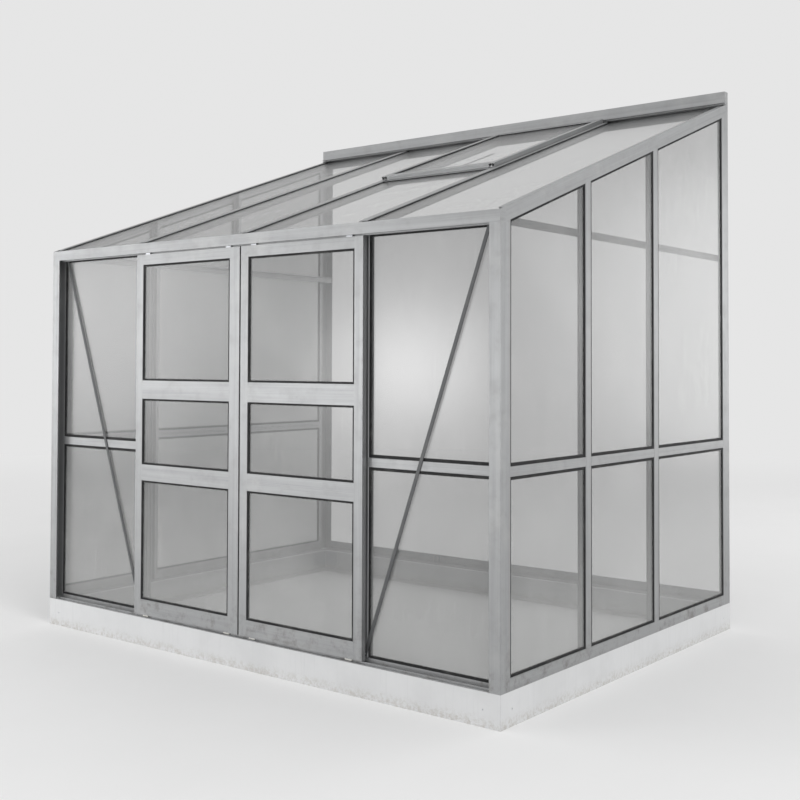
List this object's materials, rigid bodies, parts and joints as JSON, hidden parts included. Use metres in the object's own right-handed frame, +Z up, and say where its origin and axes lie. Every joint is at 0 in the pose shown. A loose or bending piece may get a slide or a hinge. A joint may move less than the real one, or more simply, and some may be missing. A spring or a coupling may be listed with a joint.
{
  "type": "lean-to greenhouse",
  "caption": "Aluminium lean-to greenhouse on a low plinth, with a pair of sliding doors, braced glazed bays, a single-pitch glass roof and a hinged roof vent.",
  "frame": {"origin": "on the ground, at the middle of the footprint", "axes": "+X along the front, to the right when facing the doors from outside; +Y from the doors towards the house wall; +Z up"},
  "size_m": [2.54, 1.93, 2.51],
  "materials": {
    "mill_aluminium": "mill finish, lightly oxidised",
    "plinth_steel": "pale grey coated steel",
    "greenhouse_glass": "clear horticultural glass",
    "glazing_rubber": "black glazing rubber",
    "buffer_rubber": "black moulded rubber",
    "zinc_fixings": "bright zinc plate",
    "nylon": "natural nylon"
  },
  "bodies": {
    "frame": {"back_post_left": "mill_aluminium", "back_post_right": "mill_aluminium", "base_back": "plinth_steel", "base_corner_plates": "zinc_fixings", "base_front": "plinth_steel", "base_left": "plinth_steel", "base_right": "plinth_steel", "braces": "mill_aluminium", "corner_post_left": "mill_aluminium", "corner_post_right": "mill_aluminium", "door_post_left": "mill_aluminium", "door_post_right": "mill_aluminium", "door_stops": "buffer_rubber", "door_track": "mill_aluminium", "eaves_gutter": "mill_aluminium", "eaves_ties": "mill_aluminium", "end_caps": "mill_aluminium", "frame_bolts": "zinc_fixings", "glass_front": "greenhouse_glass", "glass_left": "greenhouse_glass", "glass_right": "greenhouse_glass", "glass_roof": "greenhouse_glass", "glazing_caps": "mill_aluminium", "glazing_seals": "glazing_rubber", "mid_rails_front": "mill_aluminium", "mid_rails_left": "mill_aluminium", "mid_rails_right": "mill_aluminium", "roof_bars": "mill_aluminium", "side_bars": "mill_aluminium", "sill_back": "mill_aluminium", "sill_front": "mill_aluminium", "sill_left": "mill_aluminium", "sill_right": "mill_aluminium", "vent_pegs": "zinc_fixings", "vent_sill": "mill_aluminium", "verge_bar_left": "mill_aluminium", "verge_bar_right": "mill_aluminium", "wall_plate": "mill_aluminium"},
    "door_left": {"door_left_glass": "greenhouse_glass", "door_left_guides": "nylon", "door_left_hangers": "zinc_fixings", "door_left_rails": "mill_aluminium", "door_left_seals": "glazing_rubber", "door_left_stiles": "mill_aluminium"},
    "door_right": {"door_right_glass": "greenhouse_glass", "door_right_guides": "nylon", "door_right_hangers": "zinc_fixings", "door_right_rails": "mill_aluminium", "door_right_seals": "glazing_rubber", "door_right_stiles": "mill_aluminium"},
    "vent": {"vent_cross_rails": "mill_aluminium", "vent_glass": "greenhouse_glass", "vent_seals": "glazing_rubber", "vent_side_rails": "mill_aluminium", "vent_stay_bracket": "zinc_fixings"},
    "vent_stay": {"vent_stay": "mill_aluminium"},
    "door_left_roller_outer": {"door_left_roller_outer": "nylon"},
    "door_left_roller_inner": {"door_left_roller_inner": "nylon"},
    "door_right_roller_outer": {"door_right_roller_outer": "nylon"},
    "door_right_roller_inner": {"door_right_roller_inner": "nylon"}
  },
  "joints": [
    {"name": "door_left_slide", "type": "slide", "parent": "frame", "child": "door_left", "axis": [-1, 0, 0], "range_m": [0, 0.56]},
    {"name": "door_left_roller_outer_spin", "type": "hinge", "parent": "door_left", "child": "door_left_roller_outer", "pos_m": [-0.585, -0.94775, 1.7223], "axis": [0, -1, 0], "continuous": true},
    {"name": "door_left_roller_inner_spin", "type": "hinge", "parent": "door_left", "child": "door_left_roller_inner", "pos_m": [-0.074, -0.94775, 1.7223], "axis": [0, -1, 0], "continuous": true},
    {"name": "door_right_slide", "type": "slide", "parent": "frame", "child": "door_right", "axis": [1, 0, 0], "range_m": [0, 0.56]},
    {"name": "door_right_roller_outer_spin", "type": "hinge", "parent": "door_right", "child": "door_right_roller_outer", "pos_m": [0.585, -0.94775, 1.7223], "axis": [0, 1, 0], "continuous": true},
    {"name": "door_right_roller_inner_spin", "type": "hinge", "parent": "door_right", "child": "door_right_roller_inner", "pos_m": [0.074, -0.94775, 1.7223], "axis": [0, 1, 0], "continuous": true},
    {"name": "vent_hinge", "type": "hinge", "parent": "frame", "child": "vent", "pos_m": [0.32, 0.926, 2.45133], "axis": [-1, 0, 0], "range_deg": [0, 25]},
    {"name": "vent_stay_pivot", "type": "hinge", "parent": "vent", "child": "vent_stay", "pos_m": [0.32, -0.01783, 2.091], "axis": [-1, 0, 0], "range_deg": [0, 78.43]}
  ],
  "couplings": [
    {"joint": "door_left_roller_outer_spin", "follows": "door_left_slide", "rad_per_m": 125},
    {"joint": "door_left_roller_inner_spin", "follows": "door_left_slide", "rad_per_m": 125},
    {"joint": "door_right_roller_outer_spin", "follows": "door_right_slide", "rad_per_m": 125},
    {"joint": "door_right_roller_inner_spin", "follows": "door_right_slide", "rad_per_m": 125},
    {"joint": "vent_stay_pivot", "follows": "vent_hinge", "ratio": 3.1351}
  ]
}
